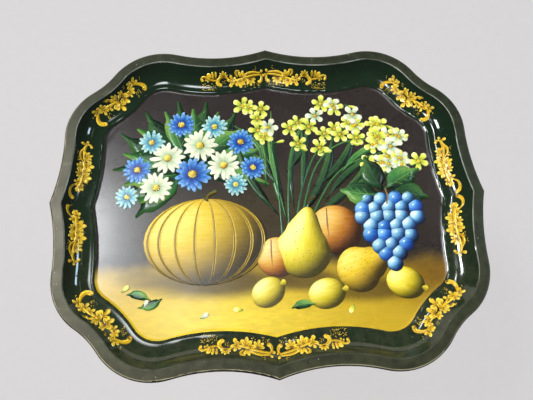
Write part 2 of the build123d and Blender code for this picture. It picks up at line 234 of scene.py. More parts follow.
# %% World and lamps
world = bpy.data.worlds.new("studio_world")
world.use_nodes = True
tree = world.node_tree
sky_height = axis(add_node("TexCoord", {}).outputs["Generated"], "Z")
sky_strength = step(sky_height, -0.1, 0.95, 0.16, 0.22)
fill(tree.nodes["Background"], {"Color": (1.0, 0.98, 0.93, 1), "Strength": sky_strength})
scene.world = world


def soft_lamp(name, place, width, height, watts, colour=(1, 1, 1), aim=(0, 0), spread_degrees=180):
    """Rectangular studio lamp that points at a place on the tray; its height runs from front to back."""
    data = bpy.data.lights.new(name, "AREA")
    data.shape = "RECTANGLE"
    data.size = width
    data.size_y = height
    data.energy = watts
    data.color = colour
    data.spread = radians(spread_degrees)
    lamp = put(name, data)
    away = (Vector(place) - Vector((*aim, floor_level))).normalized()
    wide = Vector((0, 1, 0)).cross(away).normalized()
    axes = Matrix((wide, away.cross(wide), away)).transposed().to_4x4()
    lamp.matrix_world = Matrix.Translation(place) @ axes


soft_lamp("window_left", (-1.12, 0.42, 2.6), 0.36, 0.6, 62, (0.94, 0.975, 1.0))
soft_lamp("wall_behind", (0.0, 4.0, 1.5), 7.0, 2.0, 56, (1.0, 0.92, 0.74))
soft_lamp("window_right", (1.9, 0.45, 2.03), 0.4, 0.5, 14, (0.6, 0.81, 1.0))
soft_lamp("pane_right", (1.2, 0.62, 2.56), 0.16, 0.6, 0.55, (1.0, 0.86, 0.7))
soft_lamp("pane_left", (-0.4, 0.3, 2.6), 0.3, 1.0, 0.22, (0.93, 0.97, 1.0), (-0.1, 0.17), 18)
soft_lamp("pane_corner", (-0.04, 0.14, 2.6), 0.1, 0.7, 0.15, (1, 1, 1), (0.2, 0.15), 14)
soft_lamp("pane_end", (0.06, 0.7, 2.6), 0.08, 0.8, 0.09, (1, 1, 1), (0.24, 0.04), 14)

# %% [markdown]
# ## Enamel on the tray
# Tole is sheet iron under stoved black-green varnish. Three zones differ: the flange takes the hands, so it is
# greyer and duller; the cove below stays deep and glossy; and the crease and the crest of the rolled edge
# carry a thin pale line. On the crease that line is a painted highlight, strongest at the back; on the crest
# it is partly rubbed through and partly a painted highlight, strongest at the front and left. The outer side
# of the rolled edge is painted darker, as painted shade. The flange is read from its height, since the rim is
# level, and the
# two edges from the normal: both curve quickly, one facing in and the other out.

# %% Zones of the rim
flange_fall = 0.4 * mm
crease_level = tray_high.z - flange_fall
japan, shader, place = new_finish("japan_enamel")
east, north, height = [axis(place, letter) for letter in "XYZ"]
on_flange = step(height, crease_level - 1.0 * mm, crease_level - 0.3 * mm)
at_top = step(height, crease_level - 1.6 * mm, crease_level - 0.6 * mm)
facing = add_node("TexCoord", {}).outputs["Normal"]
upright = axis(facing, "Z")
outward = vector_sum("DOT_PRODUCT", {0: facing, 1: place})["Value"]
outward = reckon("SUBTRACT", outward, times(upright, height))
faces_in = step(outward, 0.0, -0.01)
faces_out = step(outward, 0.0, 0.01)
bent = times(step(upright, 0.55, 0.8), step(upright, 0.995, 0.95))
inner_edge = times(bent, times(at_top, faces_in))
crest = times(step(upright, 0.86, 0.93), step(upright, 0.997, 0.985))
outer_edge = times(crest, times(at_top, faces_out))
outer_side = times(step(upright, 0.93, 0.8), faces_out)
print("zone nodes:", len(tree.nodes))

# %% Worn enamel, painted highlights and painted shade
mottle = patches(place, 26.0, 5.0)
grime = patches(place, 90.0, 4.0)
cove_paint = mix(mottle, "07190c", "0f2412")
flange_paint = mix(step(grime, 0.35, 0.7), "141c10", "222a1a")
paint = mix(on_flange, cove_paint, flange_paint)
scuff = step(streaks(place, (35.0, 90.0, 60.0), 6.0), 0.62, 0.8)
rubbed = step(mottle, 0.42, 0.62, 0.2, 0.8)
# Where the crease's painted highlight shows: faint at the front, full at the back.
crease_highlight_side = step(north, -0.18, 0.05, 0.1, 1.0)
# Where the crest's pale line shows, part wear and part painted highlight: full at the front and left.
crest_highlight_side = step(plus(north, times(east, 0.6)), 0.1, -0.14, 0.1, 1.0)
chip = reckon("MAXIMUM", chips(place, 150.0, 0.1, 0.14), chips(place, 330.0, 0.14, 0.1))
for share, code in (
    (times(scuff, step(on_flange, 0.0, 1.0, 0.1, 0.35)), "5a6054"),
    (times(step(north, 0.06, -0.2), step(grime, 0.3, 0.7, 0.03, 0.14)), "6b6347"),
    # Painted shade: the outer side of the rolled edge is painted near-black.
    (outer_side, "0b120b"),
    # Painted highlight: a pale line along the crease, broken into patches.
    (times(inner_edge, times(rubbed, crease_highlight_side)), "8f918a"),
    # Pale line on the crest of the rolled edge: partly rubbed through, partly a painted highlight.
    (times(outer_edge, times(rubbed, crest_highlight_side)), "ada284"),
    (times(chip, step(on_flange, 0.0, 1.0, 0.3, 0.9)), "b9b8ad"),
):
    paint = mix(share, paint, code)
print("nodes with wear:", len(tree.nodes))

# %% [markdown]
# The upper half of the real wall is nearly a plain slope, and the flange is level. So the varnish shades the
# wall with a normal that leans no further than that slope does, and the flange with one that points straight
# up.

# %% Gloss of the enamel
steepest = radians(52)
surface = add_node("NewGeometry", {}).outputs["Normal"]
level = axis(surface, "Z")
lean = reckon("SQRT", reckon("SUBTRACT", 1.0, times(level, level)), 0.0)
share = reckon("MINIMUM", 1.0, reckon("DIVIDE", sin(steepest), lean))
lift = add_node("CombineXYZ", {"Z": reckon("MAXIMUM", level, cos(steepest))}).outputs[0]
flat = vector_sum("MULTIPLY", {0: surface, 1: (1.0, 1.0, 0.0)})[0]
eased = vector_sum("ADD", {0: vector_sum("SCALE", {0: flat, 3: share})[0], 1: lift})[0]
eased = blend(times(faces_in, step(level, 0.05, 0.1)), surface, eased)
eased = blend(times(on_flange, step(level, 0.985, 0.995)), eased, (0.0, 0.0, 1.0))
tooth = plus(patches(place, 420.0, 2.0), chip)
dull = plus(step(on_flange, 0.0, 1.0, 0.08, 0.42), step(mottle, 0.3, 0.75, -0.02, 0.06))
gloss = reckon("SUBTRACT", step(on_flange, 0.0, 1.0, 0.5, 0.32), times(outer_side, 0.22))
fill(shader, {"Base Color": paint, "Roughness": dull, "Normal": relief(tooth, 0.02 * mm, 0.4, Normal=eased)})
fill(shader, {"Specular IOR Level": gloss, "Specular Tint": mix(on_flange, (1, 1, 1, 1), "fff4dc")})
print("enamel nodes:", len(tree.nodes))

# %% [markdown]
# ## Enamel, metal, rubber and nylon below
# The legs carry the same green as the tray, brushed on and satin. The hardware is plated or bare steel:
# metallic shaders with a fine grain and a little tarnish. Feet and pads are rubber, with dust in the low
# places of their grain. The slots of the record say which finish belongs to which CAD node.


# %% Leg enamel
leg_paint, shader, place = new_finish("leg_enamel")
brushed = streaks(place, (300.0, 300.0, 60.0), 4.0)
paint = mix(brushed, "0f1a14", "1c2c22")
rubbed = step(patches(place, 34.0, 6.0), 0.64, 0.72)
paint = mix(times(rubbed, 0.55), paint, "4d5a50")
chip = chips(place, 70.0, 0.14, 0.12)
paint = mix(chip, paint, "857c70")
dull = plus(step(brushed, 0.3, 0.7, 0.26, 0.36), times(rubbed, 0.15))
bumps = relief(reckon("SUBTRACT", brushed, chip), 0.05 * mm, 0.5)
fill(shader, {"Base Color": paint, "Roughness": dull, "Normal": bumps})
print("leg enamel nodes:", len(tree.nodes))


# %% Steel finishes
def steel_finish(name, dark, light, tarnish, dullness, grain):
    """Plated or bare steel: two tones of metal, tarnish in patches and a drawn grain."""
    metal, shader, place = new_finish(name)
    drawn = streaks(place, grain, 4.0)
    stain = step(patches(place, 120.0, 5.0), 0.55, 0.75)
    paint = mix(times(stain, 0.6), mix(drawn, dark, light), tarnish)
    dull = plus(step(drawn, 0.2, 0.8, dullness - 0.08, dullness + 0.08), times(stain, 0.2))
    bumps = relief(drawn, 0.02 * mm, 0.6)
    fill(shader, {"Base Color": paint, "Metallic": 1.0, "Roughness": dull, "Normal": bumps})
    return metal


zinc = steel_finish("zinc_plate", "8d9196", "b9bcbd", "74706a", 0.36, (900.0, 60.0, 900.0))
spring = steel_finish("blued_spring_steel", "4a4d52", "7b7e82", "4a3f33", 0.3, (200.0, 1200.0, 200.0))
rivet = steel_finish("rivet_steel", "9a9a98", "c4c3be", "7a6a54", 0.32, (500.0, 500.0, 500.0))
wire = steel_finish("rim_wire_steel", "77797a", "a2a3a2", "5c4a38", 0.42, (300.0, 300.0, 300.0))
print("steels:", zinc.name, spring.name, rivet.name, wire.name)


# %% Rubber and nylon
def moulded_finish(name, low, high, dust, dullness, grain):
    """Moulded rubber or nylon: a fine moulded grain, with dust where it is low."""
    stuff, shader, place = new_finish(name)
    tooth = patches(place, grain, 4.0)
    worn = step(patches(place, 55.0, 5.0), 0.5, 0.75)
    paint = mix(times(worn, 0.5), mix(tooth, low, high), dust)
    dull = step(tooth, 0.2, 0.8, dullness - 0.1, dullness + 0.1)
    fill(shader, {"Base Color": paint, "Roughness": dull, "Normal": relief(tooth, 0.06 * mm, 0.7)})
    return stuff


foot_rubber = moulded_finish("foot_rubber", "151515", "262524", "5a554d", 0.68, 700.0)
pad_rubber = moulded_finish("pad_rubber", "1c1a18", "2e2a27", "544c44", 0.72, 900.0)
nylon = moulded_finish("bush_nylon", "cfc8b4", "e2dccb", "a79b83", 0.42, 500.0)
print("moulded:", foot_rubber.name, pad_rubber.name, nylon.name)

# %% Put the finishes on the CAD nodes
finish_of_slot = {
    "tray_japan": japan, "leg_paint": leg_paint, "steel_wire": wire, "zinc_steel": zinc,
    "spring_steel": spring, "rivet_steel": rivet, "bush_nylon": nylon, "pad_rubber": pad_rubber,
    "foot_rubber": foot_rubber,
}
for node in nodes.values():
    for slot in node.material_slots:
        slot.material = finish_of_slot[slot.material.name.split(".")[0]]
print("finished nodes:", len(nodes))

# %% [markdown]
# ## The picture's ground
# The floor of the tray carries a painted picture. Its ground is a thin coat that lies on the floor and runs
# half-way up the step round it. The floor's exact outline is in the CAD mesh already, so we copy that mesh,
# merge its loose triangles, keep only the low faces that look up, and extrude them into a closed coat.


# %% Picture ground
def choose(action):
    """Select all of the open mesh, or none of it."""
    bpy.ops.mesh.select_all(action=action)


def nudge(value):
    """Move what is selected."""
    bpy.ops.transform.translate(value=value)


def extrude(rise):
    """Extrude what is selected, up or down."""
    bpy.ops.mesh.extrude_region_move(TRANSFORM_OT_translate={"value": (0, 0, rise)})


coat_lift = 0.04 * mm
coat_bite = 0.25 * mm
half_step = 1.25 * mm
bpy.ops.object.select_all(action="DESELECT")
ground = put("picture_ground", nodes["tray_pan"].data.copy())
bpy.context.view_layer.objects.active = ground
ground.select_set(True)
bpy.ops.object.mode_set(mode="EDIT")
choose("SELECT")
bpy.ops.mesh.remove_doubles(threshold=0.002 * mm)
sheet = bmesh.from_edit_mesh(ground.data)
for face in sheet.faces:
    height = face.calc_center_median().z - floor_level
    face.select_set(not (face.normal.z > 0.7 and -0.01 * mm < height < half_step))
bmesh.update_edit_mesh(ground.data)
bpy.ops.mesh.delete(type="FACE")
choose("SELECT")
bpy.ops.mesh.dissolve_limited(angle_limit=radians(0.5))
choose("SELECT")
nudge((0, 0, -coat_bite))
extrude(coat_bite + coat_lift)
choose("SELECT")
bpy.ops.mesh.normals_make_consistent(inside=False)
bpy.ops.mesh.faces_shade_smooth()
choose("DESELECT")
bpy.ops.mesh.edges_select_sharp(sharpness=radians(35))
bpy.ops.mesh.mark_sharp()
choose("DESELECT")
sheet = bmesh.from_edit_mesh(ground.data)
for edge in sheet.edges:
    edge.select_set(all(abs(spot.co.z - floor_level - coat_lift) < 0.01 * mm for spot in edge.verts))
bmesh.update_edit_mesh(ground.data)
bpy.ops.mesh.mark_sharp()
bpy.ops.object.mode_set(mode="OBJECT")
ground.data.materials.clear()
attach(ground, "tray")
picture_level = floor_level + coat_lift
print("picture ground faces:", len(ground.data.polygons))

# %% [markdown]
# The ground's paint runs from a brown that is nearly black at the back to a golden table at the front. Soft
# ellipses of light and shade model the table top and the dark under each fruit.


# %% Paint of the ground
def soft_spot(place, middle, reach, core=0.0):
    """1 in the middle of a soft ellipse, 0 at its edge; sizes in millimetres."""
    spot = (middle[0] * mm, middle[1] * mm, picture_level)
    sockets = {"Vector": place, "Location": spot, "Scale": (reach[0] * mm, reach[1] * mm, 1)}
    centred = add_node("Mapping", sockets, vector_type="TEXTURE").outputs[0]
    return step(vector_sum("LENGTH", {0: centred})["Value"], 1.0, core)


def varnish(shader, paint, place, brush):
    """Old varnish over paint: brush relief, worn gloss and specks."""
    speck = chips(place, 210.0, 0.07, 0.05)
    paint = mix(times(speck, 0.55), paint, "cfc9b6")
    hairline = step(streaks(place, (45.0, 600.0, 1.0), 2.0), 0.68, 0.74)
    dull = plus(step(patches(place, 30.0, 5.0), 0.3, 0.75, 0.25, 0.31), times(hairline, 0.06))
    grain = plus(patches(place, 700.0, 2.0), times(brush, 0.5))
    bumps = relief(plus(grain, speck), 0.012 * mm, 0.4)
    fill(shader, {"Base Color": paint, "Roughness": dull, "Normal": bumps, "Specular IOR Level": 0.34})


ground_paint, shader, place = new_finish("ground_paint")
brush = streaks(place, (70.0, 260.0, 1.0), 5.0)
smoke = patches(place, 14.0, 4.0)
paint = mix(smoke, "1f1917", "2c2421")
paint = mix(soft_spot(place, (10, -30), (240, 120)), paint, "33280f")
table_edge = plus(axis(place, "Y"), step(smoke, 0.3, 0.7, -6 * mm, 6 * mm))
table = step(table_edge, -72 * mm, -98 * mm)
table_paint = mix(brush, "a8871a", "cfab24")
table_paint = mix(soft_spot(place, (-60, -150), (200, 62)), table_paint, "e8c832")
table_paint = mix(soft_spot(place, (210, -100), (130, 70)), table_paint, "70500f")
paint = mix(table, paint, table_paint)
for middle, reach, depth in (
    ((-70, -104), (118, 26), 0.85),
    ((40, -104), (70, 20), 0.8),
    ((118, -118), (90, 22), 0.75),
    ((-165, -98), (50, 16), 0.5),
):
    shade = times(soft_spot(place, middle, reach, 0.35), depth)
    paint = mix(shade, paint, "33240c")
paint = mix(step(brush, 0.35, 0.7, 0.0, 0.18), paint, "0d0a08")
varnish(shader, paint, place, brush)
ground.data.materials.append(ground_paint)
print("ground paint nodes:", len(tree.nodes))

# %% [markdown]
# ## Five touches of the brush
# The picture is built as a tole painter works: from a few practised touches, each repeated with small
# changes. A petal, a leaf, a round fruit, a bead and a long line are modelled once, each a thin closed shape
# with a low dome, one unit in size. Every touch in the picture is a copy of one of them with its own mesh.


# %% Tools to model a touch
def begin(add, **sizes):
    """Add a primitive with nothing else selected, and open it for editing."""
    bpy.ops.object.select_all(action="DESELECT")
    add(**sizes)
    bpy.ops.object.mode_set(mode="EDIT")
    return bpy.context.object


def pick(piece, kind, test):
    """Select only the vertices or faces whose place passes a test."""
    choose("DESELECT")
    bpy.ops.mesh.select_mode(type=kind)
    form = bmesh.from_edit_mesh(piece.data)
    for part in form.faces if kind == "FACE" else form.verts:
        part.select_set(bool(test(part.calc_center_median() if kind == "FACE" else part.co)))
    form.select_flush_mode()
    bmesh.update_edit_mesh(piece.data)


def keep_touch(piece, name):
    """Close the edit and keep the mesh, smooth on top and flat at the sides; drop the object."""
    bpy.ops.object.mode_set(mode="OBJECT")
    form = piece.data
    form.name = name
    for face in form.polygons:
        face.use_smooth = abs(face.normal.z) > 0.05
    bpy.data.objects.remove(piece)
    print(name, "faces:", len(form.polygons))
    return form


def squeeze(value):
    """Scale what is selected about the origin."""
    bpy.ops.transform.resize(value=value, center_override=(0, 0, 0))


def raised_disc(corners, rises):
    """A disc whose top is inset and raised in steps."""
    piece = begin(bpy.ops.mesh.primitive_cylinder_add, vertices=corners, radius=1.0, depth=1.0)
    pick(piece, "FACE", lambda spot: spot.z > 0.4)
    for inset, rise in rises:
        bpy.ops.mesh.inset(thickness=inset)
        nudge((0, 0, rise))
    return piece


def half_ball():
    """The upper half of a ball, on a low foot."""
    piece = begin(bpy.ops.mesh.primitive_uv_sphere_add, segments=32, ring_count=20, radius=1.0)
    bpy.ops.mesh.bisect(plane_co=(0, 0, 0.001), plane_no=(0, 0, 1), clear_inner=True, use_fill=True)
    pick(piece, "FACE", lambda spot: spot.z < 0.01)
    extrude(-0.5)
    choose("SELECT")
    nudge((0, 0, 0.5))
    return piece


# %% Petal and leaf
piece = raised_disc(14, ((0.35, 0.7), (0.35, 0.3)))
pick(piece, "VERT", lambda spot: spot.x < 0.1)
squeeze((1, 0.72, 1))
pick(piece, "VERT", lambda spot: spot.x < -0.55)
squeeze((1, 0.6, 1))
petal = keep_touch(piece, "petal_touch")

piece = raised_disc(18, ((0.45, 1.0),))
pick(piece, "VERT", lambda spot: abs(spot.x) > 0.7)
squeeze((1, 0.62, 1))
pick(piece, "VERT", lambda spot: spot.x > 0.97)
nudge((0.3, 0, 0))
pick(piece, "VERT", lambda spot: spot.x < -0.97)
nudge((-0.2, 0, 0))
leaf = keep_touch(piece, "leaf_touch")

# %% Fruit, bead and line
fruit = keep_touch(half_ball(), "fruit_touch")
bead = keep_touch(raised_disc(10, ((0.4, 0.9),)), "bead_touch")

line_steps = 20
piece = begin(bpy.ops.mesh.primitive_grid_add, x_subdivisions=line_steps, y_subdivisions=2, size=2.0)
extrude(0.5)
pick(piece, "VERT", lambda spot: spot.z > 0.25 and abs(spot.y) < 0.1)
nudge((0, 0, 1.0))
choose("SELECT")
bpy.ops.mesh.normals_make_consistent(inside=False)
line = keep_touch(piece, "line_touch")

# %% [markdown]
# ## Laying a touch
# A touch takes its place, its turn and its size in the picture's own millimetres, and a row of tones from
# shadow to light. Each point's tone is kept in an attribute called paint, shaded along the touch, in two
# halves as on a leaf, or round as on a fruit. A second attribute, brush, runs along the touch, so that the
# marks of the hairs follow it. Later touches lie a hair higher, as wet paint does over dry.

# %% Touches
touch_lift = 0.0006
touch_dome = 0.03
touch_foot = -0.03
side_top = 0.45
dome_start = 0.4
full_dome_width = 4
tone_scatter = 0.06
light_scatter = (0.9, 1.08)
picture_light = (-0.5, 0.45, 0.62)
laid = {}


def tone_at(tones, share):
    """Colours at the given shares of the way along a row of tones."""
    row = np.array(tones)[:, :3]
    stops = np.linspace(0, 1, len(row))
    return np.stack([np.interp(share, stops, row[:, channel]) for channel in range(3)], 1)


def turned(east, north, turn):
    """A place in the plan, or an array of them, turned about the origin."""
    return east * cos(turn) - north * sin(turn), east * sin(turn) + north * cos(turn)


def tone_share(form, spots, shading, turn):
    """How light each point of a touch is, from 0 to 1, with the light from the upper left."""
    if shading == "along":
        return (spots[:, 0] + 1) / 2
    if shading == "halves":
        return 0.45 + 0.28 * np.tanh(5 * spots[:, 1]) + 0.2 * spots[:, 0]
    facing = np.array([tuple(normal.vector) for normal in form.vertex_normals])
    east, north = turned(facing[:, 0], facing[:, 1], turn)
    lit = picture_light[0] * east + picture_light[1] * north + picture_light[2] * facing[:, 2]
    return np.clip(0.12 + 0.9 * lit, 0, 1)


def lay(coat, form, spots, plan, tones, share, size, over):
    """Add a copy of a form to a coat, at these places in plan and with these tones."""
    touches = laid.setdefault(coat, [])
    mesh = form.copy()
    top = spots[:, 2]
    order = sum(len(group) for group in laid.values())
    dome = touch_dome * (top - dome_start) * min(1.0, size[1] / full_dome_width)
    rise = np.where(top < side_top, touch_foot, order * touch_lift + over * touch_dome + dome)
    points = np.column_stack([plan[:, 0] * mm, plan[:, 1] * mm, rise * mm])
    mesh.vertices.foreach_set("co", points.ravel())
    share = np.clip(share + vary(-tone_scatter, tone_scatter), 0, 1)
    shade = tone_at(tones, share) * vary(*light_scatter)
    colour = np.column_stack([shade, np.ones(len(shade))])
    mesh.attributes.new("paint", "FLOAT_COLOR", "POINT").data.foreach_set("color", colour.ravel())
    hairs = np.column_stack([spots[:, :2] * size, np.full(len(spots), vary(0, 90))])
    mesh.attributes.new("brush", "FLOAT_VECTOR", "POINT").data.foreach_set("vector", hairs.ravel())
    touches.append(put(coat, mesh))


def spots_of(form):
    """A form's points as an array."""
    spots = np.empty(len(form.vertices) * 3)
    form.vertices.foreach_get("co", spots)
    return spots.reshape(-1, 3)


def dab(coat, form, place, turn, size, tones, shading="along", bow=0.0, over=0.0):
    """One touch at a place, turned and scaled, bowed to one side, and laid over what is there."""
    spots = spots_of(form)
    along = spots[:, 0] * size[0]
    across = spots[:, 1] * size[1] + bow * size[0] * (1 - spots[:, 0] ** 2)
    plan = np.column_stack(turned(along, across, turn)) + place
    share = tone_share(form, spots, shading, turn)
    lay(coat, form, spots, plan, tones, share, size, over)


def curve_through(points, count):
    """Points of a smooth curve through the given ones."""
    ends = np.array([points[0], *points, points[-1]], float)
    curve = []
    for at in np.linspace(0, len(points) - 1, count):
        first = min(int(at), len(points) - 2)
        t = at - first
        a, b, c, d = ends[first : first + 4]
        square = 2 * a - 5 * b + 4 * c - d
        cube = 3 * b - a - 3 * c + d
        curve.append(0.5 * (2 * b + (c - a) * t + square * t**2 + cube * t**3))
    return np.array(curve)


def draw(coat, points, widths, tones, shading="halves", over=0.0):
    """A long touch along a curve, as wide as the row of widths says."""
    spots = spots_of(line)
    path = curve_through(points, line_steps + 1)
    heading = np.gradient(path, axis=0)
    heading /= np.linalg.norm(heading, axis=1)[:, None] + 1e-9
    at = np.rint((spots[:, 0] + 1) / 2 * line_steps).astype(int)
    half = np.interp(at / line_steps, np.linspace(0, 1, len(widths)), widths) / 2
    beside = np.column_stack([-heading[at, 1], heading[at, 0]])
    plan = path[at] + beside * (spots[:, 1] * half)[:, None]
    reach = np.linalg.norm(np.diff(path, axis=0), axis=1).sum() / 2
    share = tone_share(line, spots, shading, 0.0)
    lay(coat, line, spots, plan, tones, share, (reach, max(widths) / 2), over)


def join_coat(coat):
    """Make one piece of all the touches of a coat."""
    bpy.ops.object.select_all(action="DESELECT")
    for touch in laid[coat]:
        touch.select_set(True)
    bpy.context.view_layer.objects.active = laid[coat][0]
    bpy.ops.object.join()
    piece = bpy.context.object
    piece.name = coat
    print(coat, "touches:", len(laid[coat]), "faces:", len(piece.data.polygons))
    return piece


# %% [markdown]
# ## The paint box
# Tones are kept as short rows, from shadow to light, in the colours of the old palette: sap green, ochre,
# lemon, white with a green shadow, and a clear blue.

# %% Rows of tones
sap_green = tones_of("0b2114 1a4626 3b7537 8fb055")
dark_green = tones_of("07120c 0f2818 1f4526 4a7337")
lemon = tones_of("5d7a2c b3bb38 dfdc5a f5f2aa")
cream = tones_of("6f8f6c b2c19a d9d9bb ecead4")
blue = tones_of("061844 0d3782 2a68b4 86b8dc")
sky_blue = tones_of("1a4560 3a7e98 78b0b4 cde4da")
ochre = tones_of("2c2107 66500d a88718 dcb82c f4e070")
gold_pear = tones_of("332c07 776a14 b9a422 e5d048 faf19c")
russet = tones_of("2c1506 6b3a0f ad6a22 dda84a f3d88c")
grape = tones_of("050c20 0f2953 295a8c 74a8c4 d4e9ea")
print("tones in a row:", len(lemon), "or", len(ochre))

# %% [markdown]
# ## The design
# The picture is a plain still life of the kind that tole painters repeat from pattern books: garden flowers
# and fruit on a table, with arching sprays behind. We lay it from back to front. Each kind of thing has one
# short function that builds it from touches, and a list that says where the copies go, in millimetres from
# the middle of the tray.


# %% Where the ground ends
quarter_turn = 1.57
full_turn = 6.28
ground_tree = BVHTree.FromObject(ground, bpy.context.evaluated_depsgraph_get())


def ahead(place, turn, reach):
    """The point that lies so far from a place in a direction."""
    return (place[0] + reach * cos(turn), place[1] + reach * sin(turn))


def on_ground(place, reach):
    """True if a round touch of this reach stays on the picture's ground."""
    for at in range(8):
        spot = ahead(place, at * tau / 8, reach)
        above = Vector((spot[0] * mm, spot[1] * mm, tray_high.z))
        if ground_tree.ray_cast(above, Vector((0, 0, -1)))[0] is None:
            return False
    return True


print("middle on the ground:", on_ground((0, 0), 10))


# %% Leaves and sprays
def leaf_from(root, turn, length, width, tones, bow=0.0, coat="painted_leaves"):
    """A leaf that grows from its root, with a pale rib and side veins."""
    middle = ahead(root, turn, length / 2)
    half = length / 2.4
    dab(coat, leaf, middle, turn, (half, width / 2), tones, "halves", bow)
    bend = ahead(middle, turn + quarter_turn, bow * half)
    rib = [ahead(root, turn, 0.06 * length), bend, ahead(root, turn, 0.94 * length)]
    draw(coat, rib, (1.0, 0.8, 0.3), tones[2:], "along", over=1.2)
    for share in (0.3, 0.48, 0.66) if width > 16 else ():
        for hand in (-1, 1):
            start = ahead(ahead(root, turn, share * length), turn + quarter_turn, bow * half * 0.9)
            tip = ahead(start, turn + hand * 0.8, 0.38 * width)
            draw(coat, [start, tip], (0.7, 0.25), tones[1:3] if hand > 0 else tones[2:4], "along", over=1.2)


bouquet = (-106, 46)
for tones, rays in (
    (dark_green, ((176, 86), (150, 94), (126, 92), (100, 90), (78, 88), (54, 92), (30, 90), (8, 96))),
    (dark_green, ((200, 84), (220, 76))),
    (sap_green, ((163, 78), (138, 80), (112, 80), (88, 76), (66, 78), (42, 76), (18, 82), (190, 72))),
    (sap_green, ((350, 88), (212, 62))),
):
    for degrees, length in rays:
        turn = radians(degrees)
        root = ahead(bouquet, turn, 16)
        leaf_from(root, turn, length, vary(24, 32), tones, vary(-0.14, 0.14))

sprays = (
    [(28, -60), (44, 20), (74, 80), (124, 112), (164, 106)],
    [(22, -60), (26, 30), (40, 96), (72, 130), (112, 138)],
    [(14, -60), (10, 36), (0, 96), (-16, 128), (-44, 140)],
    [(40, -50), (84, 28), (126, 58), (168, 62), (198, 46)],
    [(34, -50), (60, 40), (96, 80), (146, 88), (186, 82)],
)
for root, degrees, length, bow in (
    ((36, -30), 66, 150, -0.14), ((20, -30), 96, 160, 0.08), ((46, -30), 44, 150, -0.16),
    ((8, -20), 116, 130, 0.12), ((56, -20), 28, 140, 0.12), ((28, -10), 80, 132, 0.16),
    ((60, 16), 52, 110, -0.18), ((96, 40), 30, 92, 0.18), ((24, 40), 64, 86, -0.16),
    ((4, 50), 126, 78, -0.18), ((120, 48), 8, 82, -0.18), ((40, 0), 86, 120, -0.1),
    ((14, 10), 104, 110, 0.16), ((70, 0), 38, 120, 0.14), ((-4, 20), 98, 104, -0.12),
):
    tones = chance.choice((sap_green, dark_green, dark_green))
    leaf_from(root, radians(degrees), length, vary(9, 13), tones, bow, "painted_sprays")
for stem in sprays:
    draw("painted_sprays", stem, (3.4, 2.8, 2.0, 1.0), sap_green, "halves", over=0.5)
print("leaf touches:", len(laid["painted_leaves"]), "spray touches:", len(laid["painted_sprays"]))


# %% Blossoms on the sprays
def blossom(place, radius, tones, coat="painted_blossoms"):
    """Five broad petals about a golden eye, each with a faint vein."""
    start = vary(0, full_turn)
    for at in range(5):
        turn = start + at * tau / 5 + vary(-0.1, 0.1)
        long = radius * vary(0.46, 0.54)
        middle = ahead(place, turn, long + 0.08 * radius)
        dab(coat, petal, middle, turn, (long, 0.37 * radius), tones)
        draw(coat, [ahead(place, turn, 0.2 * radius), middle], (0.9, 0.3), tones[:2], "along", over=1.2)
    dab(coat, bead, place, 0, (0.21 * radius, 0.21 * radius), ochre[2:4], "round", over=1.4)
    for at in range(4):
        spot = ahead(place, start + at * quarter_turn, 0.2 * radius)
        dab(coat, bead, spot, 0, (0.7, 0.7), russet[1:3], over=2.2)


def bud(root, turn, length, coat="painted_blossoms"):
    """A closed bud on a short stalk."""
    draw(coat, [ahead(root, turn, -7), root], (1.0, 1.5), sap_green)
    dab(coat, petal, ahead(root, turn, length / 2), turn, (length / 2, length / 4.4), lemon, "halves")


stem_points = 60
bud_points = 55
for stem, first in zip(sprays, (0.5, 0.46, 0.5, 0.56, 0.6)):
    along = curve_through(stem, stem_points)
    for share in np.linspace(first, 1.0, 9):
        spot = along[int(share * (stem_points - 1))]
        place = (spot[0] + vary(-13, 13), spot[1] + vary(-12, 12))
        radius = vary(11.0, 13.5)
        tones = chance.choice((lemon, lemon, cream))
        if on_ground(place, radius + 1):
            blossom(place, radius, tones)
    bud(tuple(along[-1] + np.array([4, 3])), vary(-0.6, 0.9), 13)
    bud(tuple(along[int(first * bud_points)] + np.array([9, -2])), vary(-0.4, 0.4), 12)
print("blossom touches:", len(laid["painted_blossoms"]))


# %% Daisies and asters
def daisy(place, radius, tones, count, coat="painted_flowers"):
    """Two rows of narrow petals about a seeded eye."""
    start = vary(0, full_turn)
    for share, petals in ((1.0, count), (0.74, count - 3)):
        for at in range(petals):
            turn = start + (at + share) * tau / petals + vary(-0.09, 0.09)
            long = 0.46 * radius * share * vary(0.9, 1.06)
            spot = ahead(place, turn, long + 0.1 * radius)
            dab(coat, petal, spot, turn, (long, 0.16 * radius), tones, "along", vary(-0.1, 0.1))
    dab(coat, bead, place, 0, (0.25 * radius, 0.23 * radius), ochre[1:], "round", over=1.2)
    for at in range(9):
        spot = ahead(place, at * 0.7, 0.17 * radius)
        dab(coat, bead, spot, 0, (0.8, 0.8), chance.choice((lemon[1:], russet[1:3])), over=2.2)


for place, radius, tones in (
    ((-178, 50), 19, blue), ((-160, 90), 18, sky_blue), ((-120, 116), 19, blue), ((-74, 112), 18, sky_blue),
    ((-38, 88), 19, blue), ((-190, 12), 16, sky_blue), ((-22, 50), 17, blue), ((-46, 26), 16, sky_blue),
    ((-138, 66), 23, cream), ((-94, 84), 24, cream), ((-62, 54), 23, cream), ((-152, 24), 22, cream),
    ((-104, 42), 25, blue),
):
    daisy(place, radius, tones, 16 if tones is blue else 14)
print("flower touches:", len(laid["painted_flowers"]))

# %% [markdown]
# The melon's ribs run from pole to pole, so each is half an ellipse whose width follows the sine of its
# angle round the fruit. The pear is the round touch again, drawn out at one end before it is copied.

# %% Peaches and melon
coat = "painted_fruit"
for place, size in (((84, -40), (35, 33)), ((6, -74), (27, 26))):
    dab(coat, fruit, place, 0, size, russet, "round")
    cleft = [ahead(place, turn, share * size[0]) for turn, share in ((1.9, 0.9), (2.6, 0.35), (4.2, 0.55))]
    draw(coat, cleft, (1.2, 2.2, 0.4), russet[1:3], "along", over=1.4)

